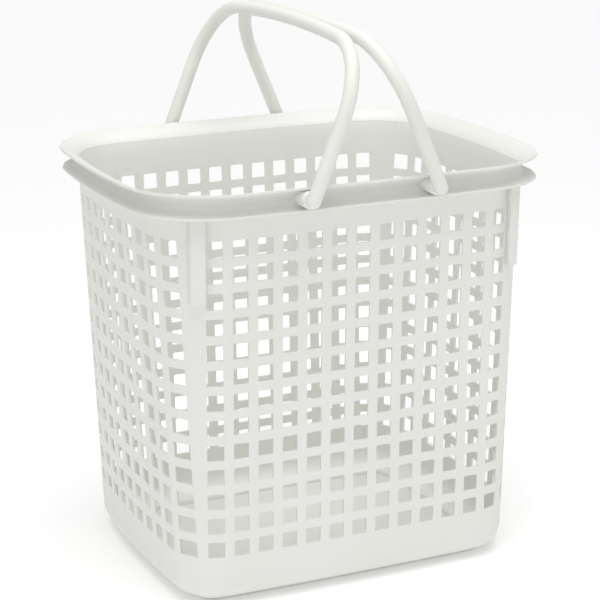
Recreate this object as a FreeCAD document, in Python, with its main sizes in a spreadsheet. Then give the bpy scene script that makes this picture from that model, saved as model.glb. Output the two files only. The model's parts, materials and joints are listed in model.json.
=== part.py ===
# Perforated plastic basket with two swinging bail handles.
# Frame: +Z up, X along the long side, origin at the centre of the face it rests on.
import FreeCAD, Part
import math
import os
import Sketcher

# Driving dimensions in millimetres: alias, value, meaning.
SIZES = [
    ("rim_height", 401.0, "resting face to top of rim"),
    ("rim_thick", 2.6, "thickness of the upper lip"),
    ("rim_reach_x", 19.3, "upper lip, outside the ends of the wall"),
    ("rim_reach_y", 19.4, "upper lip, outside the long faces of the wall"),
    ("rim_corner", 87.0, "corner radius of the upper lip"),
    ("flange_drop", 24.0, "top of rim down to the underside of the lower lip"),
    ("flange_thick", 2.6, "thickness of the lower lip"),
    ("flange_reach_x", 15.3, "lower lip, outside the ends of the wall"),
    ("flange_reach_y", 15.4, "lower lip, outside the long faces of the wall"),
    ("flange_corner", 72.0, "corner radius of the lower lip"),
    ("band_rise", 1.6, "band between the lips, outside the wall below it"),
    ("flare_drop", 14.0, "top of rim down to where the flare starts"),
    ("top_half_x", 191.2, "half length of the wall under the lower lip"),
    ("top_half_y", 151.6, "half depth of the wall under the lower lip"),
    ("top_corner", 60.0, "wall corner radius under the lower lip"),
    ("taper_x", 13.2, "how far the wall draws in at each end, down to the base"),
    ("taper_y", 11.6, "how far the wall draws in at each long face, down to the base"),
    ("tray_corner", 42.0, "wall corner radius where the base starts"),
    ("tray_height", 27.0, "resting face to where the walls start"),
    ("base_round", 20.0, "outside rounding between wall and floor"),
    ("foot_depth", 5.0, "how far the foot panel stands below the floor"),
    ("foot_inset", 20.0, "wall to the edge of the foot panel"),
    ("wall", 2.5, "wall thickness"),
    ("floor_thick", 3.0, "floor thickness"),
    ("long_bow", 4350.0, "plan radius of the long sides"),
    ("short_bow", 1090.0, "plan radius of the short sides"),
    ("pitch", 24.0, "hole to hole, both ways"),
    ("hole_width", 14.6, "width of a hole"),
    ("hole_height", 15.6, "height of a hole"),
    ("row_drop", 46.0, "top of rim down to the top of the first row"),
    ("hole_margin", 1.2, "outermost hole to the edge of its panel"),
    ("end_margin", 25.0, "least room from a long side's last hole to the end of the base"),
    ("side_margin", 12.0, "least room from a short side's last hole to the side of the base"),
    ("row_margin", 18.0, "least room from the lowest holes to the base"),
    ("rib_gap", 2.0, "outermost hole to the stacking rib"),
    ("rib_width", 12.2, "width of a stacking rib"),
    ("rib_proud", 2.5, "how far a stacking rib stands out from the side"),
    ("rib_corner", 40.0, "corner radius of the outline that the ribs end on"),
    ("rib_drop", 103.0, "top of rim down to the lower end of a rib"),
    ("pivot_half_x", 63.0, "middle of the basket to a handle pivot"),
    ("pivot_drop", 11.4, "top of rim down to the pivot axis"),
    ("boss_diameter", 16.0, "diameter of a pivot boss"),
    ("boss_inset", 1.5, "edge of the upper lip in to the face of a boss"),
    ("peg_diameter", 8.0, "diameter of a handle peg"),
    ("peg_clearance", 0.1, "radial clearance of a peg in its socket"),
    ("peg_length", 12.0, "length of a peg inside its socket"),
    ("socket_spare", 1.5, "room beyond the end of a peg"),
    ("hub_diameter", 16.0, "diameter of a handle hub"),
    ("hub_gap", 0.5, "face of a boss to the face of a hub"),
    ("hub_cover", 0.8, "how far a hub stands out past the handle leg"),
    ("rod_diameter", 13.2, "diameter of the handle rod"),
    ("rod_gap", 2.4, "edge of the upper lip to a handle leg"),
    ("handle_reach", 148.0, "pivot axis to the middle of the grip"),
    ("handle_corner", 68.0, "centreline radius of a handle corner"),
    ("crown_radius", 1450.0, "centreline radius of the slightly crowned grip"),
    ("grip_gap", 0.6, "gap between the two grips when they meet"),
]
SIDES = (("left", -1), ("right", 1))

doc = FreeCAD.newDocument("perforated_basket")
sheet = doc.addObject("Spreadsheet::Sheet", "Sizes")
for line, (alias, number, meaning) in enumerate(SIZES, start=1):
    sheet.set("A%d" % line, meaning)
    sheet.set("B%d" % line, str(number))
    sheet.setAlias("B%d" % line, alias)
doc.recompute()


def size(expression):
    """The present value of an expression on the sheet."""
    return float(sheet.evalExpression(expression))


def bind(item, prop, expression):
    item.setExpression(prop, expression)


def new_body(name):
    body = doc.addObject("PartDesign::Body", name)
    body.Label = name
    return body


def plane(body, role):
    return next(item for item in body.Origin.OriginFeatures if item.Role == role)


def new_sketch(body, name, role, offset):
    """A sketch on one of the body's own planes, moved along the plane's normal."""
    sketch = body.newObject("Sketcher::SketchObject", name)
    sketch.AttachmentSupport = (plane(body, role), [""])
    sketch.MapMode = "FlatFace"
    bind(sketch, "AttachmentOffset.Base.z", offset)
    return sketch


def fix(sketch, kind, places, expression):
    """Add a dimension and bind it to the sheet."""
    index = sketch.addConstraint(Sketcher.Constraint(kind, *places, size(expression)))
    bind(sketch, "Constraints[%d]" % index, expression)


# ---- the outline that the whole basket shares: four bowed sides and four corners

def corner_centre(half_x, half_y, corner, long_bow, short_bow):
    """Centre of the corner arc that is tangent to a long and a short side."""
    from_long = long_bow - corner
    from_short = short_bow - corner
    drop_long = half_y - long_bow
    drop_short = half_x - short_bow
    apart = math.hypot(drop_short, drop_long)
    along = (from_long ** 2 - from_short ** 2 + apart ** 2) / (2 * apart)
    across = math.sqrt(from_long ** 2 - along ** 2)
    step_x = drop_short / apart
    step_y = -drop_long / apart
    return (along * step_x + across * step_y, drop_long + along * step_y - across * step_x)


def outline_sketch(body, name, height, half_x, half_y, corner, grow="0"):
    """Closed outline at a height, drawn grow outside the three sizes given."""
    words = {"half_x": half_x + " + " + grow, "half_y": half_y + " + " + grow,
             "corner": corner + " + " + grow, "long": "Sizes.long_bow + " + grow,
             "short": "Sizes.short_bow + " + grow}
    keys = ("half_x", "half_y", "corner", "long", "short")
    hx, hy, rc, long_bow, short_bow = [size(words[key]) for key in keys]
    cx, cy = corner_centre(hx, hy, rc, long_bow, short_bow)
    low = math.atan2(cy, cx - (hx - short_bow))
    high = math.atan2(cy - (hy - long_bow), cx)
    turn = math.pi
    arcs = [
        (hx - short_bow, 0, short_bow, -low, low),
        (cx, cy, rc, low, high),
        (0, hy - long_bow, long_bow, high, turn - high),
        (-cx, cy, rc, turn - high, turn - low),
        (short_bow - hx, 0, short_bow, turn - low, turn + low),
        (-cx, -cy, rc, turn + low, turn + high),
        (0, long_bow - hy, long_bow, turn + high, 2 * turn - high),
        (cx, -cy, rc, 2 * turn - high, 2 * turn - low),
    ]
    sketch = new_sketch(body, name, "XY_Plane", height)
    for x, y, radius, start, end in arcs:
        circle = Part.Circle(FreeCAD.Vector(x, y, 0), FreeCAD.Vector(0, 0, 1), radius)
        sketch.addGeometry(Part.ArcOfCircle(circle, start, end), False)
    for index in range(8):
        sketch.addConstraint(Sketcher.Constraint("Tangent", index, 2, (index + 1) % 8, 1))
    for index, axis in ((0, -1), (4, -1), (2, -2), (6, -2)):
        sketch.addConstraint(Sketcher.Constraint("PointOnObject", index, 3, axis))
    inset_x = words["short"] + " - (" + words["half_x"] + ")"
    inset_y = words["long"] + " - (" + words["half_y"] + ")"
    fix(sketch, "DistanceX", (0, 3, -1, 1), inset_x)
    fix(sketch, "DistanceX", (-1, 1, 4, 3), inset_x)
    fix(sketch, "DistanceY", (2, 3, -1, 1), inset_y)
    fix(sketch, "DistanceY", (-1, 1, 6, 3), inset_y)
    for index in range(8):
        key = ("short", "corner", "long", "corner")[index % 4]
        fix(sketch, "Radius", (index,), words[key])
    return sketch


RIM_HALF_X = "(Sizes.top_half_x + Sizes.rim_reach_x)"
RIM_HALF_Y = "(Sizes.top_half_y + Sizes.rim_reach_y)"
TRAY_HALF_X = "(Sizes.top_half_x - Sizes.taper_x)"
TRAY_HALF_Y = "(Sizes.top_half_y - Sizes.taper_y)"
TOP = ("Sizes.top_half_x", "Sizes.top_half_y", "Sizes.top_corner")
TRAY = (TRAY_HALF_X, TRAY_HALF_Y, "Sizes.tray_corner")
RIM = (RIM_HALF_X, RIM_HALF_Y, "Sizes.rim_corner")
FLANGE = ("(Sizes.top_half_x + Sizes.flange_reach_x)", "(Sizes.top_half_y + Sizes.flange_reach_y)",
          "Sizes.flange_corner")
FLANGE_UNDER = "Sizes.rim_height - Sizes.flange_drop"
FLARE_START = "Sizes.rim_height - Sizes.flare_drop"
LIP_UNDER = "Sizes.rim_height - Sizes.rim_thick"
PIVOT_HEIGHT = "Sizes.rim_height - Sizes.pivot_drop"
FLOOR_TOP = "Sizes.foot_depth + Sizes.floor_thick"
BOSS_FACE = RIM_HALF_Y + " - Sizes.boss_inset"


def pad(body, name, sketch, length, midplane=False):
    feature = body.newObject("PartDesign::Pad", name)
    feature.Profile = sketch
    feature.SideType = "Symmetric" if midplane else "One side"
    bind(feature, "Length", length)
    return feature


def pocket(body, name, sketch, length):
    """Cut downwards from the sketch, against its normal."""
    feature = body.newObject("PartDesign::Pocket", name)
    feature.Profile = sketch
    bind(feature, "Length", length)
    return feature


def loft(body, name, kind, lower, upper):
    feature = body.newObject("PartDesign::" + kind, name)
    feature.Profile = lower
    feature.Sections = [upper]
    feature.Ruled = True
    return feature


def box(name, low, high):
    """A box between two corners whose six places are expressions."""
    item = doc.addObject("Part::Box", name)
    for axis, side, start, end in zip("xyz", ("Length", "Width", "Height"), low, high):
        bind(item, "Placement.Base." + axis, start)
        bind(item, side, "(" + end + ") - (" + start + ")")
    return item


def join(name, items):
    result = doc.addObject("Part::MultiFuse", name)
    result.Shapes = items
    return result


def common(name, base, tool):
    result = doc.addObject("Part::Common", name)
    result.Base = base
    result.Tool = tool
    return result


def cut(name, base, tool):
    result = doc.addObject("Part::Cut", name)
    result.Base = base
    result.Tool = tool
    return result


nodes = []


# ---- base: rounded tray with a shallow foot panel

def edges_at(shape, height):
    """Names of the edges that lie level at a height, to within a rounding error."""
    slack = 1e-4
    found = []
    for number, edge in enumerate(shape.Edges, start=1):
        limits = edge.BoundBox
        if abs(limits.ZMin - height) < slack and abs(limits.ZMax - height) < slack:
            found.append("Edge%d" % number)
    return found


def round_edges(body, name, feature, height, radius):
    doc.recompute()
    fillet = body.newObject("PartDesign::Fillet", name)
    fillet.Base = (feature, edges_at(feature.Shape, size(height)))
    bind(fillet, "Radius", radius)
    return fillet


def tray_body(name, bottom, rounding, inset, panel_low, panel_high, grow):
    """A block with a rounded lower edge, and a smaller panel under its middle."""
    body = new_body(name)
    outline = outline_sketch(body, name + "_outline", bottom, *TRAY, grow=grow)
    block = pad(body, name + "_block", outline, "Sizes.tray_height - (" + bottom + ")")
    round_edges(body, name + "_rounding", block, bottom, rounding)
    panel = outline_sketch(body, name + "_panel_outline", panel_low, *TRAY, grow=grow + " - " + inset)
    pad(body, name + "_panel", panel, "(" + panel_high + ") - (" + panel_low + ")")
    return body


tray_block = tray_body("tray_block", "Sizes.foot_depth", "Sizes.base_round", "Sizes.foot_inset",
                       "0", FLOOR_TOP, "0")
tray_hollow = tray_body("tray_hollow", FLOOR_TOP, "Sizes.base_round - Sizes.wall",
                        "(Sizes.foot_inset + Sizes.floor_thick - Sizes.wall)",
                        "Sizes.floor_thick", "Sizes.tray_height", "(0 - Sizes.wall)")
nodes.append(cut("base_tray", tray_block, tray_hollow))


# ---- walls: one drafted shell, cut into upright strips and corner posts

def wall_loft(name, low_sizes, high_sizes, grow):
    body = new_body(name)
    lower = outline_sketch(body, name + "_low", "Sizes.tray_height", *low_sizes, grow=grow)
    upper = outline_sketch(body, name + "_high", FLANGE_UNDER, *high_sizes, grow=grow)
    loft(body, name + "_loft", "AdditiveLoft", lower, upper)
    return body


outer = wall_loft("wall_outer", TRAY, TOP, "0")
inner = wall_loft("wall_inner", TRAY, TOP, "(0 - Sizes.wall)")
proud = wall_loft("wall_proud", TRAY[:2] + ("Sizes.rib_corner",), TOP[:2] + ("Sizes.rib_corner",),
                  "Sizes.rib_proud")


def count(length, hole):
    """How many holes of a size fit on the pitch in a length, both given as expressions."""
    return int((size(length) - size(hole)) / size("Sizes.pitch")) + 1


COLUMNS_LONG = count("2 * (" + TRAY_HALF_X + " - Sizes.end_margin)", "Sizes.hole_width")
COLUMNS_SHORT = count("2 * (" + TRAY_HALF_Y + " - Sizes.side_margin)", "Sizes.hole_width")
ROWS = count("Sizes.rim_height - Sizes.row_drop - Sizes.tray_height - Sizes.row_margin",
             "Sizes.hole_height")
FAR_X = "(2 * " + RIM_HALF_X + ")"
FAR_Y = "(2 * " + RIM_HALF_Y + ")"
LAST_LONG = "(%g * Sizes.pitch + Sizes.hole_width / 2)" % ((COLUMNS_LONG - 1) / 2)
LAST_SHORT = "(%g * Sizes.pitch + Sizes.hole_width / 2)" % ((COLUMNS_SHORT - 1) / 2)
SPLIT_X = "(" + LAST_LONG + " + Sizes.hole_margin)"
SPLIT_Y = "(" + LAST_SHORT + " + Sizes.hole_margin)"
RIB_NEAR = "(" + LAST_LONG + " + Sizes.rib_gap)"
RIB_FAR = "(" + LAST_LONG + " + Sizes.rib_gap + Sizes.rib_width)"


def span(sign, near, far):
    """Two expressions in rising order on one side of the middle."""
    if sign > 0:
        return near, far
    return "0 - " + far, "0 - " + near


rib_boxes = []
for word, sign in SIDES:
    low, high = span(sign, RIB_NEAR, RIB_FAR)
    rib_boxes.append(box("rib_zone_" + word, (low, "0 - " + FAR_Y, "Sizes.rim_height - Sizes.rib_drop"),
                         (high, FAR_Y, FLANGE_UNDER)))
ribs = common("ribs", proud, join("rib_zones", rib_boxes))
shell = cut("shell", join("ribbed_wall", [outer, ribs]), inner)

rows = []
for row in range(ROWS):
    under = "Sizes.rim_height - Sizes.row_drop - %d * Sizes.pitch - Sizes.hole_height" % row
    rows.append(box("row_%02d" % (row + 1), ("0 - " + FAR_X, "0 - " + FAR_Y, under),
                    (FAR_X, FAR_Y, under + " + Sizes.hole_height")))
row_slabs = join("row_slabs", rows)


def columns(name, total, along_x):
    """Upright slots that run right through the basket, one for each column of holes."""
    slots = []
    for number in range(total):
        middle = "(%g * Sizes.pitch)" % (number - (total - 1) / 2)
        low = [middle + " - Sizes.hole_width / 2", "0 - " + FAR_Y, "0"]
        high = [middle + " + Sizes.hole_width / 2", FAR_Y, "Sizes.rim_height"]
        if not along_x:
            low[:2] = ["0 - " + FAR_X, low[0]]
            high[:2] = [FAR_X, high[0]]
        slots.append(box("%s_%02d" % (name, number + 1), low, high))
    return join(name, slots)


holes_long = common("holes_long", columns("columns_long", COLUMNS_LONG, True), row_slabs)
holes_short = common("holes_short", columns("columns_short", COLUMNS_SHORT, False), row_slabs)

END_COLUMNS = 4


def wall_strips(word, sign, total, far, along_x):
    """Cut a bowed wall between columns of holes into three strips that are each nearly flat."""
    inner = "(%g * Sizes.pitch)" % (total / 2 - END_COLUMNS)
    across = span(sign, "0", FAR_Y if along_x else FAR_X)
    strips = (("0 - " + far, "0 - " + inner), ("0 - " + inner, inner), (inner, far))
    parts = ("left", "middle", "right") if along_x else ("front", "middle", "back")
    for part, along in zip(parts, strips):
        name = "%s_wall_%s" % (word, part)
        ends = (along, across) if along_x else (across, along)
        zone = box(name + "_zone", (ends[0][0], ends[1][0], "0"),
                   (ends[0][1], ends[1][1], "Sizes.rim_height"))
        nodes.append(cut(name, common(name + "_plain", shell, zone), holes_long if along_x else holes_short))


for word, sign in (("front", -1), ("back", 1)):
    wall_strips(word, sign, COLUMNS_LONG, SPLIT_X, True)
for word, sign in SIDES:
    wall_strips(word, sign, COLUMNS_SHORT, SPLIT_Y, False)
for depth_word, depth_sign in (("front", -1), ("back", 1)):
    for word, sign in SIDES:
        low_x, high_x = span(sign, SPLIT_X, FAR_X)
        low_y, high_y = span(depth_sign, SPLIT_Y, FAR_Y)
        name = depth_word + "_" + word + "_corner"
        zone = box(name + "_zone", (low_x, low_y, "0"), (high_x, high_y, "Sizes.rim_height"))
        nodes.append(common(name, shell, zone))


# ---- rim: two outward lips, the band between them, and four pivot bosses

BAND_GROW = "Sizes.band_rise"
rim = new_body("rim")
lower_lip = outline_sketch(rim, "lower_lip_outline", FLANGE_UNDER, *FLANGE)
pad(rim, "lower_lip", lower_lip, "Sizes.flange_thick")
band_outline = outline_sketch(rim, "band_outline", FLANGE_UNDER, *TOP, grow=BAND_GROW)
pad(rim, "band", band_outline, "Sizes.flange_drop - Sizes.flare_drop")
flare_low = outline_sketch(rim, "flare_low", FLARE_START, *TOP, grow=BAND_GROW)
flare_high = outline_sketch(rim, "flare_high", LIP_UNDER, *RIM)
loft(rim, "flare", "AdditiveLoft", flare_low, flare_high)
lip_outline = outline_sketch(rim, "lip_outline", LIP_UNDER, *RIM)
pad(rim, "upper_lip", lip_outline, "Sizes.rim_thick")


def pivot_circles(body, name, offset, radius):
    """Two circles on the pivot axes, on a plane across the basket's depth."""
    sketch = new_sketch(body, name, "XZ_Plane", offset)
    for index, (word, sign) in enumerate(SIDES):
        middle = FreeCAD.Vector(sign * size("Sizes.pivot_half_x"), size(PIVOT_HEIGHT), 0)
        sketch.addGeometry(Part.Circle(middle, FreeCAD.Vector(0, 0, 1), size(radius)), False)
        ends = (-1, 1, index, 3) if sign > 0 else (index, 3, -1, 1)
        fix(sketch, "DistanceX", ends, "Sizes.pivot_half_x")
        fix(sketch, "DistanceY", (-1, 1, index, 3), PIVOT_HEIGHT)
        fix(sketch, "Radius", (index,), radius)
    return sketch


boss_circles = pivot_circles(rim, "boss_circles", "0", "Sizes.boss_diameter / 2")
pad(rim, "bosses", boss_circles, "2 * (" + BOSS_FACE + ")", midplane=True)
bore_depth = "Sizes.peg_length + Sizes.socket_spare"
for word, sign in (("front", 1), ("back", -1)):
    offset = "%d * (" % sign + BOSS_FACE + ")"
    circles = pivot_circles(rim, word + "_sockets_outline", offset,
                            "Sizes.peg_diameter / 2 + Sizes.peg_clearance")
    socket = pocket(rim, word + "_sockets", circles, bore_depth)
    socket.Reversed = sign < 0
mouth_low = outline_sketch(rim, "mouth_low", FLARE_START, *TOP, grow="(0 - Sizes.wall)")
pocket(rim, "mouth", mouth_low, "Sizes.flange_drop - Sizes.flare_drop")
funnel_low = outline_sketch(rim, "funnel_low", FLARE_START, *TOP, grow="(0 - Sizes.wall)")
funnel_high = outline_sketch(rim, "funnel_high", "Sizes.rim_height", *RIM, grow="(0 - Sizes.wall)")
loft(rim, "funnel", "SubtractiveLoft", funnel_low, funnel_high)
nodes.append(rim)


# ---- handles: a crowned bail, two hubs and two pegs, drawn upright about the pivot axis

LEG_Y = RIM_HALF_Y + " + Sizes.rod_gap + Sizes.rod_diameter / 2"
LEAN = "asin((Sizes.pivot_half_x - Sizes.rod_diameter / 2 - Sizes.grip_gap / 2) / Sizes.handle_reach)"
HUB_FACE = BOSS_FACE + " + Sizes.hub_gap"


def bail_path(body, name):
    leg = size(LEG_Y)
    reach = size("Sizes.handle_reach")
    corner = size("Sizes.handle_corner")
    crown = size("Sizes.crown_radius")
    corner_y = leg - corner
    corner_z = reach - crown + math.sqrt((crown - corner) ** 2 - corner_y ** 2)
    tilt = math.atan2(corner_z - (reach - crown), corner_y)
    point = FreeCAD.Vector
    up = point(0, 0, 1)

    def arc(x, y, radius, start, end):
        return Part.ArcOfCircle(Part.Circle(point(x, y, 0), up, radius), start, end)

    sketch = new_sketch(body, name, "YZ_Plane", "0")
    sketch.addGeometry(Part.LineSegment(point(leg, 0, 0), point(leg, corner_z, 0)), False)
    sketch.addGeometry(arc(corner_y, corner_z, corner, 0, tilt), False)
    sketch.addGeometry(arc(0, reach - crown, crown, tilt, math.pi - tilt), False)
    sketch.addGeometry(arc(-corner_y, corner_z, corner, math.pi - tilt, math.pi), False)
    sketch.addGeometry(Part.LineSegment(point(-leg, corner_z, 0), point(-leg, 0, 0)), False)
    for index in range(4):
        sketch.addConstraint(Sketcher.Constraint("Tangent", index, 2, index + 1, 1))
    sketch.addConstraint(Sketcher.Constraint("Vertical", 0))
    sketch.addConstraint(Sketcher.Constraint("Vertical", 4))
    sketch.addConstraint(Sketcher.Constraint("PointOnObject", 0, 1, -1))
    sketch.addConstraint(Sketcher.Constraint("PointOnObject", 4, 2, -1))
    sketch.addConstraint(Sketcher.Constraint("PointOnObject", 2, 3, -2))
    fix(sketch, "DistanceX", (-1, 1, 0, 1), LEG_Y)
    fix(sketch, "DistanceX", (4, 2, -1, 1), LEG_Y)
    fix(sketch, "DistanceY", (2, 3, -1, 1), "Sizes.crown_radius - Sizes.handle_reach")
    fix(sketch, "Radius", (1,), "Sizes.handle_corner")
    fix(sketch, "Radius", (2,), "Sizes.crown_radius")
    fix(sketch, "Radius", (3,), "Sizes.handle_corner")
    return sketch


def round_sketch(body, name, role, offset, x, radius):
    """A circle on a plane of the body, at x along the plane's first axis."""
    sketch = new_sketch(body, name, role, offset)
    middle = FreeCAD.Vector(size(x), 0, 0)
    sketch.addGeometry(Part.Circle(middle, FreeCAD.Vector(0, 0, 1), size(radius)), False)
    sketch.addConstraint(Sketcher.Constraint("PointOnObject", 0, 3, -1))
    fix(sketch, "DistanceX", (-1, 1, 0, 3), x)
    fix(sketch, "Radius", (0,), radius)
    return sketch


def handle(name, sign):
    body = new_body(name)
    path = bail_path(body, name + "_path")
    section = new_sketch(body, name + "_section", "XY_Plane", "0")
    middle = FreeCAD.Vector(0, size(LEG_Y), 0)
    section.addGeometry(Part.Circle(middle, FreeCAD.Vector(0, 0, 1), size("Sizes.rod_diameter / 2")), False)
    section.addConstraint(Sketcher.Constraint("PointOnObject", 0, 3, -2))
    fix(section, "DistanceY", (-1, 1, 0, 3), LEG_Y)
    fix(section, "Radius", (0,), "Sizes.rod_diameter / 2")
    rod = body.newObject("PartDesign::AdditivePipe", name + "_rod")
    rod.Profile = section
    rod.Spine = (path, ["Edge%d" % number for number in range(1, 6)])
    rod.Transition = 0
    for word, side in (("front", 1), ("back", -1)):
        hub_face = "%d * (" % side + HUB_FACE + ")"
        hub_outline = round_sketch(body, "%s_%s_hub_outline" % (name, word), "XZ_Plane", hub_face,
                                   "0", "Sizes.hub_diameter / 2")
        hub = pad(body, "%s_%s_hub" % (name, word), hub_outline,
                  LEG_Y + " + Sizes.rod_diameter / 2 + Sizes.hub_cover - (" + HUB_FACE + ")")
        hub.Reversed = side < 0
        peg_outline = round_sketch(body, "%s_%s_peg_outline" % (name, word), "XZ_Plane", hub_face,
                                   "0", "Sizes.peg_diameter / 2")
        peg = pad(body, "%s_%s_peg" % (name, word), peg_outline, "Sizes.peg_length + Sizes.hub_gap")
        peg.Reversed = side > 0
    any_angle = 10
    turned = FreeCAD.Rotation(FreeCAD.Vector(0, 1, 0), any_angle)
    body.Placement = FreeCAD.Placement(FreeCAD.Vector(0, 0, 0), turned)
    bind(body, "Placement.Base.x", "%d * Sizes.pivot_half_x" % sign)
    bind(body, "Placement.Base.z", PIVOT_HEIGHT)
    bind(body, "Placement.Rotation.Angle", "%d * (" % -sign + LEAN + ")")
    return body


for word, sign in SIDES:
    nodes.append(handle(word + "_handle", sign))


# ---- check every object, then write one file for each sub-part

doc.recompute()
for item in doc.Objects:
    if "Invalid" in item.State or "Error" in item.State:
        raise RuntimeError("%s failed: %s" % (item.Label, item.State))
os.makedirs("parts", exist_ok=True)
for item in nodes:
    if item.Shape.isNull() or not item.Shape.isValid() or not item.Shape.Solids:
        raise RuntimeError("%s has no sound solid" % item.Label)
    item.Shape.exportStep("parts/%s.step" % item.Label)
    limits = item.Shape.BoundBox
    print("%-20s solids %d  faces %4d  volume %9.0f  x %7.1f %7.1f  y %7.1f %7.1f  z %6.1f %6.1f" % (
        item.Label, len(item.Shape.Solids), len(item.Shape.Faces), item.Shape.Volume,
        limits.XMin, limits.XMax, limits.YMin, limits.YMax, limits.ZMin, limits.ZMax))
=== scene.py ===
"""Perforated moulded basket with two bail handles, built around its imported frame."""

import json
import math

import bmesh
import bpy
from bpy.props import FloatProperty, FloatVectorProperty, IntProperty, PointerProperty
from mathutils import Matrix, Vector


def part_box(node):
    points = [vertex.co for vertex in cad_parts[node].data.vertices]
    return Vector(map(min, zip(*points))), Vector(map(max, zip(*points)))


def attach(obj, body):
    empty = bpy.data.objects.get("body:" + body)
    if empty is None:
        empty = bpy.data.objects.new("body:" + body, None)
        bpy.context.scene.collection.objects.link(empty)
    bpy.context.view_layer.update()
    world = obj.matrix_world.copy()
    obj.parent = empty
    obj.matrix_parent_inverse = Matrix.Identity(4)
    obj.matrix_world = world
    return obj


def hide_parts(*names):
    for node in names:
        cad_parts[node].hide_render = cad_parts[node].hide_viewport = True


bl_info = {
    "name": "Perforated Basket",
    "version": (1, 0, 0),
    "blender": (4, 5, 0),
    "location": "3D View > Sidebar > Basket",
    "description": "Models a perforated moulded basket, its bail handles and a small studio",
    "category": "Add Mesh",
}

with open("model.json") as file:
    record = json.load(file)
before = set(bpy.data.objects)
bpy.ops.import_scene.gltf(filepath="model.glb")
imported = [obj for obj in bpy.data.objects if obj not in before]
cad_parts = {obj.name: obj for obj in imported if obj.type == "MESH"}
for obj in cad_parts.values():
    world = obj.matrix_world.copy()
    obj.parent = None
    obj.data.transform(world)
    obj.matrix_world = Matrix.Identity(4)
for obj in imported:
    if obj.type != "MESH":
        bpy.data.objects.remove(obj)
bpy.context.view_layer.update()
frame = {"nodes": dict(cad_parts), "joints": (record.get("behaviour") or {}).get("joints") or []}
MM = 0.001

RIM_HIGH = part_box("rim")[1]
TRAY_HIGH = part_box("base_tray")[1]
END_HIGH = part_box("right_wall_middle")[1]
FACE_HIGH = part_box("back_wall_middle")[1]
BAIL_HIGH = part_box("right_handle")[1]
PIVOT = Vector(next(joint["pos_m"] for joint in frame["joints"] if joint["child"] == "right_handle"))
BASKET_NODES = [name for name in frame["nodes"] if not name.endswith("_handle")]


class ShellSettings(bpy.types.PropertyGroup):
    """Sizes of the basket moulding"""
    wall: FloatProperty(name="Wall", description="Wall thickness", default=2.5 * MM, unit="LENGTH")
    pitch: FloatProperty(name="Pitch", description="Hole to hole, both ways", default=24 * MM, unit="LENGTH")
    hole_width: FloatProperty(name="Hole width", description="Width of a hole",
                              default=14.6 * MM, unit="LENGTH")
    hole_height: FloatProperty(name="Hole height", description="Height of a hole",
                               default=15.6 * MM, unit="LENGTH")
    hole_corner: FloatProperty(name="Hole corner", description="Corner radius of a hole",
                               default=0.9 * MM, unit="LENGTH")
    hole_edge: FloatProperty(name="Hole edge", description="Softened edge round each hole",
                             default=0.35 * MM, unit="LENGTH")
    collar: FloatProperty(name="Collar", description="Ring of faces round each hole",
                          default=1.6 * MM, unit="LENGTH")
    columns_long: IntProperty(name="Long columns", description="Holes along a long side", default=13)
    columns_short: IntProperty(name="Short columns", description="Holes along a short side", default=11)
    rows: IntProperty(name="Rows", description="Rows of holes", default=13)
    row_drop: FloatProperty(name="Row drop", description="Top of the rim to the top of the first row",
                            default=46 * MM, unit="LENGTH")
    base_round: FloatProperty(name="Base rounding", description="Outside radius between wall and floor",
                              default=20 * MM, unit="LENGTH")
    foot_depth: FloatProperty(name="Foot depth", description="Foot panel below the floor",
                              default=5 * MM, unit="LENGTH")


class HandleSettings(bpy.types.PropertyGroup):
    """Sizes of a bail handle"""
    rod: FloatProperty(name="Rod", description="Diameter of the rod", default=13.1 * MM, unit="LENGTH")
    hub: FloatProperty(name="Hub", description="Diameter of the hub disc", default=16 * MM, unit="LENGTH")
    hub_cover: FloatProperty(name="Hub cover", description="Room kept outside the rod at the hub",
                             default=0.8 * MM, unit="LENGTH")
    peg: FloatProperty(name="Peg", description="Diameter of the snap-in peg", default=8 * MM, unit="LENGTH")
    reach: FloatProperty(name="Reach", description="Pivot to the middle of the grip",
                         default=148 * MM, unit="LENGTH")
    corner: FloatProperty(name="Corner", description="Centreline radius of a corner",
                          default=68 * MM, unit="LENGTH")
    crown: FloatProperty(name="Crown", description="Centreline radius of the grip",
                         default=1450 * MM, unit="LENGTH")
    gap: FloatProperty(name="Grip gap", description="Gap between the grips", default=0.6 * MM, unit="LENGTH")


class PlasticSettings(bpy.types.PropertyGroup):
    """Finish of the moulded plastic"""
    colour: FloatVectorProperty(name="Colour", description="Colour of the plastic", subtype="COLOR",
                                size=4, min=0, max=1, default=(0.795, 0.795, 0.765, 1))
    roughness: FloatProperty(name="Roughness", description="Mean roughness", default=0.46,
                             subtype="FACTOR")


class StudioSettings(bpy.types.PropertyGroup):
    """Camera and lights"""
    focus: FloatVectorProperty(name="Focus", description="Point that the camera looks at", unit="LENGTH",
                               default=(-0.0087, -0.0273, 0.2549))
    azimuth: FloatProperty(name="Azimuth", description="Camera angle round the basket",
                           default=math.radians(-24.1255), unit="ROTATION")
    elevation: FloatProperty(name="Elevation", description="Camera angle above the floor",
                             default=math.radians(15.8677), unit="ROTATION")
    roll: FloatProperty(name="Roll", description="Camera roll", default=math.radians(-0.557),
                        unit="ROTATION")
    distance: FloatProperty(name="Distance", description="Camera to focus", default=1.8955, unit="LENGTH")
    lens: FloatProperty(name="Lens", description="Focal length in millimetres", default=117.1)
    sky: FloatProperty(name="Sky", description="Strength of the even white surround", default=0.47)
    key: FloatProperty(name="Key", description="Strength of the soft light from the left", default=0.38)
    fill: FloatProperty(name="Fill", description="Strength of the soft light from the right", default=0.15)
    overhead: FloatProperty(name="Overhead", description="Strength of the soft light from above", default=1.0)
    box: FloatProperty(name="Box", description="Power of the soft box over the basket, in watts", default=3.4)


# ---- the plan outline: four bowed sides and four round corners

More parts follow.
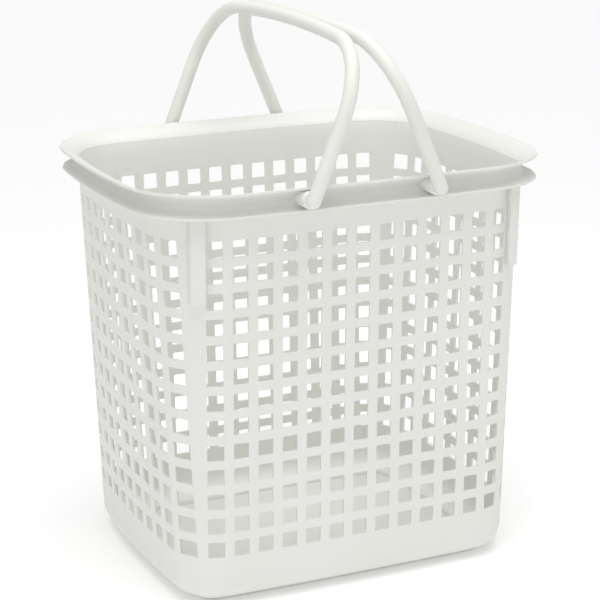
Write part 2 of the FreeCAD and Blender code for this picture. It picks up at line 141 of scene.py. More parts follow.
LONG_BOW = 4350 * MM
SHORT_BOW = 1090 * MM
TOP_CORNER = 60 * MM
TRAY_CORNER = 42 * MM
RIM_CORNER = 87 * MM
LIP_CORNER = 72 * MM
LIP_REACH = 15.3 * MM
LIP_THICK = 2.6 * MM
BAND_RISE = 1.6 * MM
FLARE_DROP = 14 * MM
BOSS_INSET = 1.5 * MM
BOSS_DEPTH = 13.5 * MM
BOSS_SINK = 1.2 * MM
RIB_CORNER = 40 * MM
RIB_WIDTH = 12.2 * MM
RIB_DROP = 103 * MM
RIB_FROM_HOLE = 2 * MM
RIB_PROUD = 2.5 * MM
RIB_BURIED = 1.2 * MM
BAND_FOOT = 10 * MM


class Outline:
    """One level of the basket: half sizes, corner radius and height. squeeze draws its stations in."""

    def __init__(self, half_x, half_y, corner, height, squeeze=(1, 1)):
        self.half_x = half_x
        self.half_y = half_y
        self.corner = corner
        self.height = height
        self.squeeze = squeeze
        drop_x = half_x - SHORT_BOW
        drop_y = half_y - LONG_BOW
        apart = math.hypot(drop_x, drop_y)
        from_long = LONG_BOW - corner
        along = (from_long ** 2 - (SHORT_BOW - corner) ** 2 + apart ** 2) / (2 * apart)
        across = math.sqrt(from_long ** 2 - along ** 2)
        self.centre_x = (along * drop_x - across * drop_y) / apart
        self.centre_y = drop_y - (along * drop_y + across * drop_x) / apart
        self.low = math.atan2(self.centre_y, self.centre_x - drop_x)
        self.high = math.atan2(self.centre_y - drop_y, self.centre_x)

    def at(self, angle):
        """Point in the first quarter whose outward normal has this angle."""
        if angle >= self.high:
            return LONG_BOW * math.cos(angle), self.half_y + LONG_BOW * (math.sin(angle) - 1)
        if angle <= self.low:
            return self.half_x + SHORT_BOW * (math.cos(angle) - 1), SHORT_BOW * math.sin(angle)
        return (self.centre_x + self.corner * math.cos(angle),
                self.centre_y + self.corner * math.sin(angle))

    def angle_for_x(self, x):
        """Normal angle where a long side, or its corner, passes x."""
        if x <= LONG_BOW * math.cos(self.high):
            return math.acos(x / LONG_BOW)
        return math.acos(min((x - self.centre_x) / self.corner, 1))

    def angle_for_y(self, y):
        """Normal angle where a short side, or its corner, passes y."""
        if y <= SHORT_BOW * math.sin(self.low):
            return math.asin(y / SHORT_BOW)
        return math.asin(min((y - self.centre_y) / self.corner, 1))

    def place(self, station):
        """Where a station lies on this level."""
        side, sign_x, sign_y, value = station
        if side == "long":
            x, y = self.at(self.angle_for_x(value * self.squeeze[0]))
        elif side == "short":
            x, y = self.at(self.angle_for_y(value * self.squeeze[1]))
        else:
            share, last_x, last_y = value
            first = self.angle_for_y(last_y * self.squeeze[1])
            last = self.angle_for_x(last_x * self.squeeze[0])
            x, y = self.at(first + (last - first) * share)
        return Vector((sign_x * x, sign_y * y, self.height))


def between(first, second, share, height):
    """A level between two others."""
    def mix(one, two):
        return one + (two - one) * share
    return Outline(mix(first.half_x, second.half_x), mix(first.half_y, second.half_y),
                   mix(first.corner, second.corner), height)


def grown(level, grow, height, squeeze=(1, 1)):
    """A level drawn outside another."""
    return Outline(level.half_x + grow, level.half_y + grow, level.corner + grow, height, squeeze)


LIP_UNDER = FACE_HIGH.z
WALL_TOP = Outline(END_HIGH.x, FACE_HIGH.y, TOP_CORNER, LIP_UNDER)
WALL_FOOT = Outline(TRAY_HIGH.x, TRAY_HIGH.y, TRAY_CORNER, TRAY_HIGH.z)
RIM_EDGE = Outline(RIM_HIGH.x, RIM_HIGH.y, RIM_CORNER, RIM_HIGH.z)
LIP_EDGE = Outline(WALL_TOP.half_x + LIP_REACH, WALL_TOP.half_y + LIP_REACH, LIP_CORNER, LIP_UNDER)
BAND = grown(WALL_TOP, BAND_RISE, LIP_UNDER)


def wall_at(height, grow=0.0):
    """The wall at a height, grow outside its face."""
    share = (height - WALL_FOOT.height) / (WALL_TOP.height - WALL_FOOT.height)
    return grown(between(WALL_FOOT, WALL_TOP, share, height), grow, height)


# ---- modelling helpers

def deselect_all():
    if bpy.context.object and bpy.context.object.mode != "OBJECT":
        bpy.ops.object.mode_set(mode="OBJECT")
    bpy.ops.object.select_all(action="DESELECT")


def name_new(name):
    piece = bpy.context.object
    piece.name = name
    piece.data.name = name
    return piece


def edit():
    bpy.ops.object.mode_set(mode="EDIT")


def leave():
    bpy.ops.object.mode_set(mode="OBJECT")


def pick(kind, test):
    """In edit mode, select the faces or edges whose middle passes a test."""
    bpy.ops.mesh.select_mode(type=kind)
    bpy.ops.mesh.select_all(action="DESELECT")
    data = bpy.context.object.data
    mesh = bmesh.from_edit_mesh(data)
    for item in mesh.faces if kind == "FACE" else mesh.edges:
        middle = sum((vert.co for vert in item.verts), Vector()) / len(item.verts)
        item.select_set(bool(test(middle)))
    mesh.select_flush_mode()
    bmesh.update_edit_mesh(data)


def picked_faces():
    return sum(face.select for face in bmesh.from_edit_mesh(bpy.context.object.data).faces)


def push(offset):
    """Extrude the selected ring by an offset."""
    bpy.ops.mesh.extrude_edges_move(TRANSFORM_OT_translate={"value": offset})


def scale_ring(factor, centre):
    """Resize the selected ring across the Z axis."""
    bpy.ops.transform.resize(value=(factor, factor, 1), center_override=centre)


def outward():
    """In edit mode, merge doubles and turn every face outwards; the lowest one shows which way that is."""
    bpy.ops.mesh.select_all(action="SELECT")
    bpy.ops.mesh.remove_doubles(threshold=0.01 * MM)
    bpy.ops.mesh.normals_make_consistent(inside=False)
    mesh = bmesh.from_edit_mesh(bpy.context.object.data)
    lowest = min(mesh.faces, key=lambda face: face.calc_center_median().z)
    if lowest.normal.z > 0:
        bpy.ops.mesh.flip_normals()


def modify(piece, kind, **settings):
    """Add a modifier with its settings and apply it."""
    bpy.context.view_layer.objects.active = piece
    modifier = piece.modifiers.new(kind.title(), kind)
    for key, value in settings.items():
        setattr(modifier, key, value)
    bpy.ops.object.modifier_apply(modifier=modifier.name)


def finish_piece(piece, body, material, angle=32, replaced=()):
    """Apply the place, shade smooth, give the plastic, parent the piece to its body's empty and hide the
    parts it replaces.
    """
    deselect_all()
    piece.select_set(True)
    bpy.context.view_layer.objects.active = piece
    bpy.ops.object.transform_apply(location=True, rotation=True, scale=True)
    bpy.ops.object.shade_smooth_by_angle(angle=math.radians(angle))
    piece.data.materials.clear()
    piece.data.materials.append(material)
    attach(piece, body)
    if replaced:
        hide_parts(*replaced)


def ring_stack(name, levels, stations, closed=False):
    """A ring extruded once for each level, whose points are then moved to the stations."""
    deselect_all()
    count = len(stations)
    bpy.ops.mesh.primitive_circle_add(vertices=count, radius=1, fill_type="NOTHING")
    piece = name_new(name)
    edit()
    bpy.ops.mesh.select_all(action="SELECT")
    for _ in levels[1:]:
        push((0, 0, 1))
    last = len(levels) - 1
    if closed:
        pick("EDGE", lambda point: point.z < 0.25 or point.z > last - 0.25)
        bpy.ops.mesh.bridge_edge_loops()
    leave()
    for vert in piece.data.vertices:
        station = round(math.atan2(vert.co.y, vert.co.x) / math.tau * count) % count
        vert.co = levels[round(vert.co.z)].place(stations[station])
    return piece


def turned(name, rings, vertices):
    """A round piece about the Z axis, open at the last ring: rings are (radius, height)."""
    deselect_all()
    radius, height = rings[0]
    bpy.ops.mesh.primitive_circle_add(vertices=vertices, radius=radius, fill_type="NGON",
                                      location=(0, 0, height))
    bpy.ops.object.transform_apply(location=True)
    piece = name_new(name)
    edit()
    bpy.ops.mesh.select_all(action="SELECT")
    bpy.ops.mesh.select_mode(type="EDGE")
    bpy.ops.mesh.region_to_loop()
    for next_radius, next_height in rings[1:]:
        push((0, 0, next_height - height))
        scale_ring(next_radius / radius, (0, 0, next_height))
        radius, height = next_radius, next_height
    bpy.ops.mesh.edge_face_add()
    outward()
    leave()
    return piece


def copy_of(piece, name):
    """A copy with its own mesh."""
    deselect_all()
    piece.select_set(True)
    bpy.context.view_layer.objects.active = piece
    bpy.ops.object.duplicate(linked=False)
    return name_new(name)


# ---- stations round the basket

CORNER_CELLS = 7


def cell_lines(count, pitch, width):
    """Both edges of each of a row of cells, from low to high."""
    middles = [(number - (count - 1) / 2) * pitch for number in range(count)]
    return [middle + side * width / 2 for middle in middles for side in (-1, 1)]


def stations_round(shell):
    """Stations round the basket, anticlockwise from the front end of the right side."""
    width = shell.hole_width + 2 * shell.collar
    lines_x = cell_lines(shell.columns_long, shell.pitch, width)
    lines_y = cell_lines(shell.columns_short, shell.pitch, width)
    shares = [number / CORNER_CELLS for number in range(1, CORNER_CELLS)]

    def corner(sign_x, sign_y, steps):
        return [("corner", sign_x, sign_y, (step, lines_x[-1], lines_y[-1])) for step in steps]

    def long_side(sign_y, lines):
        return [("long", math.copysign(1, x), sign_y, abs(x)) for x in lines]

    def short_side(sign_x, lines):
        return [("short", sign_x, math.copysign(1, y), abs(y)) for y in lines]

    return (short_side(1, lines_y) + corner(1, 1, shares) + long_side(1, lines_x[::-1])
            + corner(-1, 1, shares[::-1]) + short_side(-1, lines_y[::-1])
            + corner(-1, -1, shares) + long_side(-1, lines_x) + corner(1, -1, shares[::-1]))


# ---- basket moulding

# How far up the flare stands, as shares of its reach and of its rise, from the band to the lip's edge.
FLARE = ((0.0, 0.0), (0.04, 0.13), (0.12, 0.30), (0.23, 0.46), (0.37, 0.61), (0.53, 0.745), (0.70, 0.86),
         (0.86, 0.95), (1.0, 1.0))


def flare_levels(shell):
    """From the edge of the upper lip, along its hollow underside, down the band to the wall."""
    low = RIM_HIGH.z - FLARE_DROP
    rise = FLARE_DROP - shell.wall
    levels = [between(BAND, RIM_EDGE, share, low + rise * up) for share, up in reversed(FLARE)]
    levels.append(grown(BAND, -0.7 * MM, LIP_UNDER))
    return levels


def flare_reach(shell, height):
    """Share of the flare's reach at a height on its underside."""
    up = (height - RIM_HIGH.z + FLARE_DROP) / (FLARE_DROP - shell.wall)
    for (near, low), (far, high) in zip(FLARE, FLARE[1:]):
        if up <= high:
            return near + (far - near) * max(up - low, 0) / (high - low)
    return 1.0


def wall_levels(shell):
    """Both edges of every row of hole cells."""
    levels = [wall_at(LIP_UNDER - BAND_FOOT)]
    for row in range(shell.rows):
        top = RIM_HIGH.z - shell.row_drop - row * shell.pitch
        levels.append(wall_at(top + shell.collar))
        levels.append(wall_at(top - shell.hole_height - shell.collar))
    return levels


# The lower edge is an arc in this many steps, the foot panel's step is (inset, height) and its inner rings
# are shares of its outline.
BASE_STEPS = 8
BASE_TOP = 36 * MM
FOOT_STEP = ((20.6, 4.7), (21.0, 4.0), (21.5, 1.2), (21.9, 0.4), (22.7, 0.0))
FOOT_RINGS = (0.92, 0.75, 0.55, 0.35, 0.15)
FOOT_CORNER = 6 * MM


def base_levels(shell):
    """The rounded lower edge, the step to the foot panel and the panel itself."""
    radius = shell.base_round
    start = wall_at(shell.foot_depth + radius)

    def inset(amount, height):
        squeeze = (1 - amount / start.half_x, 1 - amount / start.half_y)
        return grown(start, -amount, height, squeeze)

    levels = [wall_at(BASE_TOP)]
    for step in range(BASE_STEPS + 1):
        angle = math.pi / 2 * step / BASE_STEPS
        levels.append(inset(radius * (1 - math.cos(angle)),
                            shell.foot_depth + radius * (1 - math.sin(angle))))
    for amount, height in FOOT_STEP:
        levels.append(inset(amount * MM, height * MM))
    foot = levels[-1]
    for share in FOOT_RINGS:
        squeeze = (foot.squeeze[0] * share, foot.squeeze[1] * share)
        levels.append(Outline(foot.half_x * share, foot.half_y * share,
                              max(foot.corner, FOOT_CORNER) * share, 0.0, squeeze))
    return levels


def in_hole(shell, point):
    """True for the middle of a cell that becomes a hole."""
    first = RIM_HIGH.z - shell.row_drop - shell.hole_height / 2
    row = (first - point.z) / shell.pitch
    near = 0.1
    if abs(row - round(row)) > near or not 0 <= round(row) < shell.rows:
        return False
    for along, across, count, depth in ((point.x, point.y, shell.columns_long, WALL_FOOT.centre_y),
                                        (point.y, point.x, shell.columns_short, WALL_FOOT.centre_x)):
        column = along / shell.pitch + (count - 1) / 2
        if abs(across) > depth and abs(column - round(column)) < near and 0 <= round(column) < count:
            return True
    return False


def on_rim_edge(point):
    """True for a point within a hair of the outer edge of the upper lip."""
    slack = 0.3 * MM
    x, y = abs(point.x), abs(point.y)
    if x > RIM_EDGE.centre_x and y > RIM_EDGE.centre_y:
        from_centre = math.hypot(x - RIM_EDGE.centre_x, y - RIM_EDGE.centre_y)
        return from_centre > RIM_EDGE.corner - slack
    return (math.hypot(x - RIM_EDGE.half_x + SHORT_BOW, y) > SHORT_BOW - slack
            or math.hypot(x, y - RIM_EDGE.half_y + LONG_BOW) > LONG_BOW - slack)


class BASKET_OT_shell(bpy.types.Operator):
    """Model the one-piece shell: flared lip, band, perforated walls, rounded base and foot panel"""
    bl_idname = "basket.shell"
    bl_label = "Shell"

    def execute(self, context):
        shell = context.scene.basket_shell
        levels = flare_levels(shell) + wall_levels(shell) + base_levels(shell)
        piece = ring_stack("basket_shell", levels, stations_round(shell))
        smallest = levels[-1]
        edit()
        pick("EDGE", lambda point: point.z < 0.01 * MM
             and abs(point.x) <= smallest.half_x * 1.01 and abs(point.y) <= smallest.half_y * 1.01)
        bpy.ops.mesh.edge_face_add()
        outward()
        pick("FACE", lambda point: in_hole(shell, point))
        wanted = 2 * shell.rows * (shell.columns_long + shell.columns_short)
        if picked_faces() != wanted:
            raise RuntimeError("%d hole cells found, and %d wanted" % (picked_faces(), wanted))
        bpy.ops.mesh.inset(thickness=shell.collar, use_individual=True, use_even_offset=True)
        bpy.ops.mesh.bevel(offset=shell.hole_corner, segments=1, affect="VERTICES")
        pick("FACE", lambda point: in_hole(shell, point))
        bpy.ops.mesh.delete(type="FACE")
        leave()
        modify(piece, "SOLIDIFY", thickness=shell.wall, offset=-1, use_even_offset=True)
        edit()
        pick("EDGE", lambda point: point.z > RIM_HIGH.z - 1.2 * shell.wall and on_rim_edge(point))
        bpy.ops.mesh.bevel(offset=1.05 * MM, segments=3, affect="EDGES")
        leave()
        modify(piece, "BEVEL", width=shell.hole_edge, segments=1, limit_method="ANGLE",
               angle_limit=math.radians(60))
        finish_piece(piece, "basket", plastic(context.scene.basket_plastic),
                     replaced=BASKET_NODES)
        return {"FINISHED"}


# Sizes of the lower lip's section, in millimetres: the cove above it, its edge and the fillet below.
COVE_WIDE = 11.3
COVE_TALL = 9.5
LIP_ROUND = 1.25
UNDER_FILLET = 2.0


class BASKET_OT_lower_lip(bpy.types.Operator):
    """Model the lower lip: a rounded flange with small fillets above and below"""
    bl_idname = "basket.lower_lip"
    bl_label = "Lower lip"

    def execute(self, context):
        reach = LIP_EDGE.half_x - BAND.half_x
        top = LIP_UNDER + LIP_THICK

        def level(out, height):
            return between(BAND, LIP_EDGE, out * MM / reach, height)

        tip = reach / MM
        section = [(-2.0, top + (COVE_TALL + 0.4) * MM), (-0.3, top + (COVE_TALL + 0.4) * MM)]
        for step in range(7):
            angle = math.pi / 2 * step / 6
            section.append((COVE_WIDE * (1 - math.cos(angle)),
                            top + COVE_TALL * MM * (1 - math.sin(angle))))
        for step in range(7):
            angle = math.pi / 2 - math.pi * step / 6
            section.append((tip - LIP_ROUND + LIP_ROUND * math.cos(angle),
                            LIP_UNDER + LIP_THICK / 2 + LIP_THICK / 2 * math.sin(angle)))
        for step in range(4, 0, -1):
            angle = math.pi / 2 * step / 4
            section.append((-1.6 + UNDER_FILLET * (1 - math.cos(angle)),
                            LIP_UNDER - UNDER_FILLET * MM * (1 - math.sin(angle))))
        section += [(-1.55, LIP_UNDER - 2.2 * MM), (-2.8, LIP_UNDER - 2.2 * MM)]
        levels = [level(out, height) for out, height in section]
        piece = ring_stack("lower_lip", levels, stations_round(context.scene.basket_shell), closed=True)
        edit()
        outward()
        leave()
        finish_piece(piece, "basket", plastic(context.scene.basket_plastic))
        return {"FINISHED"}


class BASKET_OT_bosses(bpy.types.Operator):
    """Model the four pivot bosses: round drums with a root fillet and a blind socket, sunk in the flare"""
    bl_idname = "basket.bosses"
    bl_label = "Pivot bosses"

    def execute(self, context):
        handle = context.scene.basket_handle
        radius = handle.hub / 2
        face = RIM_EDGE.half_y - BOSS_INSET
        root = BAND.at(BAND.angle_for_x(PIVOT.x))[1]
        socket = handle.peg / 2 + 0.1 * MM
        rings = [(radius, root - 1.5 * MM), (radius + 1.6 * MM, root - 1.0 * MM),
                 (radius + 1.5 * MM, root + 0.1 * MM), (radius + 0.75 * MM, root + 0.45 * MM),
                 (radius + 0.25 * MM, root + 1.2 * MM), (radius, root + 2.4 * MM),
                 (radius, face - 0.7 * MM), (radius - 0.2 * MM, face - 0.2 * MM),
                 (radius - 0.7 * MM, face), (socket + 0.4 * MM, face), (socket, face - 0.4 * MM),
                 (socket, face - BOSS_DEPTH)]
        drum = turned("pivot_boss", rings, 40)
        for word_y, sign_y in (("front", -1), ("back", 1)):
            for word_x, sign_x in (("left", -1), ("right", 1)):
                piece = copy_of(drum, "%s_%s_pivot_boss" % (word_y, word_x))
                piece.rotation_euler = (-sign_y * math.pi / 2, 0, 0)
                piece.location = (sign_x * PIVOT.x, 0, PIVOT.z)
                finish_piece(piece, "basket", plastic(context.scene.basket_plastic))
                for vert in piece.data.vertices:
                    share = flare_reach(context.scene.basket_shell, vert.co.z)
                    skin = between(BAND, RIM_EDGE, share, vert.co.z)
                    depth = skin.at(skin.angle_for_x(abs(vert.co.x)))[1] - BOSS_SINK
                    vert.co.y = sign_y * max(abs(vert.co.y), depth)
        deselect_all()
        drum.select_set(True)
        bpy.ops.object.delete()
        return {"FINISHED"}


class BASKET_OT_ribs(bpy.types.Operator):
    """Model the four upright stacking ribs under the lower lip"""
    bl_idname = "basket.ribs"
    bl_label = "Stacking ribs"

    def execute(self, context):
        shell = context.scene.basket_shell
        last_hole = ((shell.columns_long - 1) * shell.pitch + shell.hole_width) / 2
        near = last_hole + RIB_FROM_HOLE
        low = RIM_HIGH.z - RIB_DROP
        for word_y, sign_y in (("front", -1), ("back", 1)):
            for word_x, sign_x in (("left", -1), ("right", 1)):
                deselect_all()
                bpy.ops.mesh.primitive_cube_add(size=2)
                rib = name_new("%s_%s_stacking_rib" % (word_y, word_x))
                edit()
                pick("EDGE", lambda point: abs(point.x) < 0.5)
                bpy.ops.mesh.subdivide(number_cuts=7)
                leave()
                for vert in rib.data.vertices:
                    along = near + RIB_WIDTH * (vert.co.x + 1) / 2
                    height = low + (LIP_UNDER - low) * (vert.co.z + 1) / 2
                    level = wall_at(height)
                    if vert.co.y > 0:
                        level = Outline(level.half_x, level.half_y, RIB_CORNER, height)
                    out = RIB_PROUD if vert.co.y > 0 else -RIB_BURIED
                    y = level.at(level.angle_for_x(along))[1] + out
                    vert.co = Vector((sign_x * along, sign_y * y, height))
                edit()
                outward()
                leave()
                modify(rib, "BEVEL", width=0.5 * MM, segments=2, limit_method="ANGLE",
                       angle_limit=math.radians(50))
                finish_piece(rib, "basket", plastic(context.scene.basket_plastic))
        return {"FINISHED"}


# ---- handles

LEG_STEPS = 4
CORNER_STEPS = 18
GRIP_STEPS = 20
END_STEPS = 8


def bail(name, handle):
    """The rod of a handle, upright about its pivot axis: leg, corner, crowned grip, corner, leg."""
    leg = BAIL_HIGH.y - handle.hub_cover - handle.rod / 2
    radius = handle.rod / 2
    corner_y = leg - handle.corner
    crown_z = handle.reach - handle.crown
    corner_z = crown_z + math.sqrt((handle.crown - handle.corner) ** 2 - corner_y ** 2)
    tilt = math.atan2(corner_z - crown_z, corner_y)
    deselect_all()
    bpy.ops.mesh.primitive_circle_add(vertices=32, radius=radius, fill_type="NOTHING",
                                      location=(0, leg, 0))
    bpy.ops.object.transform_apply(location=True)
    piece = name_new(name)
    edit()
    bpy.ops.mesh.select_all(action="SELECT")
    for _ in range(LEG_STEPS):
        push((0, 0, corner_z / LEG_STEPS))
    for centre_y, centre_z, turn, steps in ((corner_y, corner_z, tilt, CORNER_STEPS),
                                            (0, crown_z, math.pi - 2 * tilt, GRIP_STEPS),
                                            (-corner_y, corner_z, tilt, CORNER_STEPS)):
        bpy.ops.mesh.spin(steps=steps, angle=turn, center=(0, centre_y, centre_z), axis=(-1, 0, 0))
    for _ in range(LEG_STEPS):
        push((0, 0, -corner_z / LEG_STEPS))
    for side in (1, -1):
        pick("EDGE", lambda point: abs(point.z) < 0.01 * MM and point.y * side > 0)
        shrink = 1.0
        below = 0.0
        for step in range(1, END_STEPS):
            angle = math.pi / 2 * step / END_STEPS
            push((0, 0, -radius * math.sin(angle) - below))
            below = -radius * math.sin(angle)
            scale_ring(math.cos(angle) / shrink, (0, side * leg, below))
            shrink = math.cos(angle)
        bpy.ops.mesh.edge_face_add()
    outward()
    leave()
    return piece


def hub_and_peg(name, handle, side):
    """A hub disc with its snap-in peg, about the Y axis on one side of the basket."""
    face = RIM_EDGE.half_y - BOSS_INSET + 0.5 * MM
    radius = handle.hub / 2
    peg = handle.peg / 2
    inner = BAIL_HIGH.y - handle.hub_cover - handle.rod + 2.6 * MM
    rings = [(peg - 0.9 * MM, face - 12.5 * MM), (peg, face - 11.4 * MM), (peg, face - 1 * MM),
             (peg + 0.5 * MM, face), (radius - 0.5 * MM, face), (radius, face + 0.5 * MM),
             (radius, inner - 1.4 * MM), (radius - 0.4 * MM, inner - 0.5 * MM), (radius - 1.4 * MM, inner)]
    piece = turned(name, rings, 40)
    piece.rotation_euler = (-side * math.pi / 2, 0, 0)
    return piece


class BASKET_OT_handles(bpy.types.Operator):
    """Model the two bail handles, each one moulding of rod, hubs and pegs"""
    bl_idname = "basket.handles"
    bl_label = "Handles"

    def execute(self, context):
        handle = context.scene.basket_handle
        lean = math.asin((PIVOT.x - handle.rod / 2 - handle.gap / 2) / handle.reach)
        for word, sign in (("left", -1), ("right", 1)):
            name = word + "_handle"
            rod = bail(name + "_moulding", handle)
            hubs = [hub_and_peg("hub", handle, side) for side in (1, -1)]
            deselect_all()
            for part in hubs + [rod]:
                part.select_set(True)
            bpy.context.view_layer.objects.active = rod
            bpy.ops.object.join()
            rod.rotation_euler = (0, -sign * lean, 0)
            rod.location = (sign * PIVOT.x, 0, PIVOT.z)
            finish_piece(rod, name, plastic(context.scene.basket_plastic),
                         replaced=[name])
        return {"FINISHED"}


# ---- the plastic

class Amount:
    """A number that varies over a surface. Arithmetic on it adds Math nodes."""

    def __init__(self, recipe, socket):
        self.recipe = recipe
        self.socket = socket

    def maths(self, operation, first, second):
        return self.recipe.node("ShaderNodeMath", {"operation": operation}, {0: first, 1: second})

    def __add__(self, other):
        return self.maths("ADD", self, other)

    __radd__ = __add__

    def __mul__(self, other):
        return self.maths("MULTIPLY", self, other)

    __rmul__ = __mul__

    def __sub__(self, other):
        return self.maths("SUBTRACT", self, other)

    def __rsub__(self, other):
        return self.maths("SUBTRACT", other, self)


class Recipe:
    """The nodes of one material."""

    def __init__(self, name):
        self.material = bpy.data.materials.new(name)
        self.material.use_nodes = True
        self.tree = self.material.node_tree
        self.tree.nodes.clear()

    def node(self, kind, settings=None, inputs=None, output=0):
        """Add a node, its settings first, then the values or links of its sockets."""
        made = self.tree.nodes.new(kind)
        for key, value in (settings or {}).items():
            setattr(made, key, value)
        for key, value in (inputs or {}).items():
            if isinstance(value, Amount):
                self.tree.links.new(value.socket, made.inputs[key])
            else:
                made.inputs[key].default_value = value
        return Amount(self, made.outputs[output]) if made.outputs else None

    def noise(self, place, scale, detail=2.0, rough=0.5):
        return self.node("ShaderNodeTexNoise", {}, {"Vector": place, "Scale": scale, "Detail": detail,
                                                    "Roughness": rough})

    def fade(self, amount, low, high):
        """0 at low, 1 at high, and smooth between."""
        return self.node("ShaderNodeMapRange", {"interpolation_type": "SMOOTHSTEP"},
                         {"Value": amount, "From Min": low, "From Max": high})


def plastic(settings):
    """Satin moulded plastic: fine grain, slow ripples, faint scuffs, and a greyer band at the foot that is
    partly grime and partly painted shade where the basket meets the floor.
    """
    name = "satin_white_plastic"
    if name in bpy.data.materials:
        return bpy.data.materials[name]
    recipe = Recipe(name)
    place = recipe.node("ShaderNodeTexCoord", output="Object")
    height = recipe.node("ShaderNodeSeparateXYZ", {}, {"Vector": place}, output="Z")
    ripple = recipe.noise(place, 28.0, 3.0)
    cloud = recipe.noise(place, 7.0, 2.0)
    grain = recipe.noise(place, 2300.0, 2.0, 0.6)
    along = recipe.node("ShaderNodeMapping", {"vector_type": "POINT"},
                        {"Vector": place, "Rotation": (0.3, 0.5, 0.7), "Scale": (30.0, 420.0, 420.0)})
    scratch = recipe.fade(recipe.noise(along, 1.0, 4.0, 0.65), 0.66, 0.80)
    patch = recipe.fade(recipe.noise(place, 11.0, 2.0), 0.50, 0.68)
    scuff = scratch * patch
    # Greyer and rougher within 7 mm of the floor: partly grime, partly painted shade where the foot meets the
    # floor.
    foot_grime_and_shade = 1 - recipe.fade(height, 0.0, 7 * MM)
    tint = recipe.node("ShaderNodeMix", {"data_type": "RGBA"},
                       {"Factor": recipe.fade(cloud, 0.35, 0.65), "A": tuple(settings.colour),
                        "B": tuple(channel * share for channel, share in
                                   zip(settings.colour, (0.985, 0.988, 0.972, 1)))}, output=2)
    # Mixes the scuff wear and the foot band (grime with painted shade) into the tint.
    worn_and_shaded = recipe.node("ShaderNodeMix", {"data_type": "RGBA"},
                       {"Factor": scuff * 0.10 + foot_grime_and_shade * 0.22, "A": tint, "B": (0.46, 0.45, 0.42, 1)},
                       output=2)
    rough = settings.roughness + (ripple - 0.5) * 0.12 + (cloud - 0.5) * 0.10 + scuff * 0.18 + foot_grime_and_shade * 0.12
    relief = recipe.node("ShaderNodeBump", {}, {"Strength": 0.35, "Distance": 0.05 * MM, "Height": grain})
    relief = recipe.node("ShaderNodeBump", {}, {"Strength": 0.30, "Distance": 0.6 * MM, "Height": ripple,
                                                "Normal": relief})
    surface = recipe.node("ShaderNodeBsdfPrincipled", {},
                          {"Base Color": worn_and_shaded, "Roughness": rough, "Normal": relief, "IOR": 1.49})
    recipe.node("ShaderNodeOutputMaterial", {}, {"Surface": surface})
    return recipe.material


# ---- the stage

FLOOR_SIZE = 60
FLOOR_COLOUR = (0.93, 0.93, 0.93, 1)
FLOOR_GLOW = 0.17
BOX_SIZE = 0.9
BOX_PLACE = (0.0, -0.10, 1.2)
SENSOR = 36


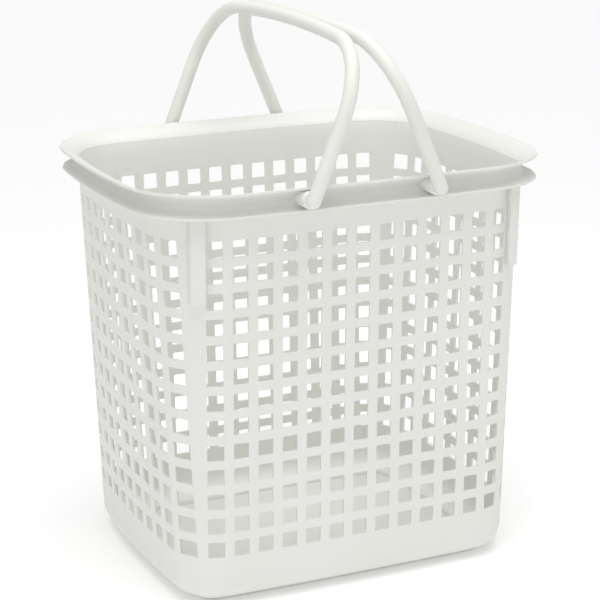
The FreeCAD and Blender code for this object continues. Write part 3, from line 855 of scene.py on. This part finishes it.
class BASKET_OT_stage(bpy.types.Operator):
    """Set out the pale floor, the soft lights and the camera"""
    bl_idname = "basket.stage"
    bl_label = "Stage"

    def execute(self, context):
        studio = context.scene.basket_studio
        deselect_all()
        bpy.ops.mesh.primitive_plane_add(size=FLOOR_SIZE)
        floor = name_new("floor")
        material = bpy.data.materials.new("pale_floor")
        material.use_nodes = True
        base = material.node_tree.nodes["Principled BSDF"]
        base.inputs["Base Color"].default_value = FLOOR_COLOUR
        base.inputs["Roughness"].default_value = 0.9
        base.inputs["Emission Color"].default_value = (1, 1, 1, 1)
        base.inputs["Emission Strength"].default_value = FLOOR_GLOW
        floor.data.materials.append(material)

        world = bpy.data.worlds.new("white_surround")
        context.scene.world = world
        world.use_nodes = True
        surround = world.node_tree.nodes["Background"]
        surround.inputs["Color"].default_value = (1, 1, 1, 1)
        surround.inputs["Strength"].default_value = studio.sky

        for name, source, spread, strength in (("key", (-0.7, -1.0, 0.5), 50, studio.key),
                                               ("fill", (1.0, -0.75, 0.8), 70, studio.fill),
                                               ("overhead", (-0.1, -0.2, 1.0), 50, studio.overhead)):
            lamp = bpy.data.lights.new(name, "SUN")
            lamp.angle = math.radians(spread)
            lamp.energy = strength
            holder = bpy.data.objects.new(name, lamp)
            context.scene.collection.objects.link(holder)
            holder.rotation_euler = Vector(source).to_track_quat("Z", "Y").to_euler()

        panel = bpy.data.lights.new("box", "AREA")
        panel.shape = "SQUARE"
        panel.size = BOX_SIZE
        panel.energy = studio.box
        holder = bpy.data.objects.new("box", panel)
        context.scene.collection.objects.link(holder)
        holder.location = BOX_PLACE

        turn, rise = studio.azimuth, studio.elevation
        back = Vector((math.sin(turn) * math.cos(rise), -math.cos(turn) * math.cos(rise), math.sin(rise)))
        right = Vector((math.cos(turn), math.sin(turn), 0))
        up = back.cross(right)
        axes = Matrix((right, up, back)).transposed().to_4x4()
        lens = bpy.data.cameras.new("camera")
        lens.lens = studio.lens
        lens.sensor_width = SENSOR
        camera = bpy.data.objects.new("camera", lens)
        context.scene.collection.objects.link(camera)
        place = Matrix.Translation(Vector(studio.focus) + back * studio.distance)
        camera.matrix_world = place @ axes @ Matrix.Rotation(studio.roll, 4, "Z")
        context.scene.camera = camera
        context.scene.view_settings.view_transform = "Standard"
        context.scene.view_settings.look = "None"
        return {"FINISHED"}


class BASKET_PT_panel(bpy.types.Panel):
    """Lists the pieces and their sizes"""
    bl_idname = "BASKET_PT_panel"
    bl_label = "Perforated basket"
    bl_space_type = "VIEW_3D"
    bl_region_type = "UI"
    bl_category = "Basket"

    def draw(self, context):
        layout = self.layout
        for operator in OPERATORS:
            layout.operator(operator.bl_idname)
        for holder in SETTINGS:
            group = getattr(context.scene, holder)
            for key in group.bl_rna.properties.keys():
                if key not in ("rna_type", "name"):
                    layout.prop(group, key)


OPERATORS = (BASKET_OT_shell, BASKET_OT_lower_lip, BASKET_OT_bosses, BASKET_OT_ribs, BASKET_OT_handles,
             BASKET_OT_stage)
SETTINGS = {"basket_shell": ShellSettings, "basket_handle": HandleSettings,
            "basket_plastic": PlasticSettings, "basket_studio": StudioSettings}


def register():
    for made in (*SETTINGS.values(), *OPERATORS, BASKET_PT_panel):
        bpy.utils.register_class(made)
    for holder, group in SETTINGS.items():
        setattr(bpy.types.Scene, holder, PointerProperty(type=group))


def unregister():
    for holder in SETTINGS:
        delattr(bpy.types.Scene, holder)
    for made in (BASKET_PT_panel, *reversed(OPERATORS), *reversed(SETTINGS.values())):
        bpy.utils.unregister_class(made)


def main():
    """Make every piece and the stage."""
    register()
    bpy.ops.basket.shell()
    bpy.ops.basket.lower_lip()
    bpy.ops.basket.bosses()
    bpy.ops.basket.ribs()
    bpy.ops.basket.handles()
    bpy.ops.basket.stage()


if __name__ == "__main__":
    main()
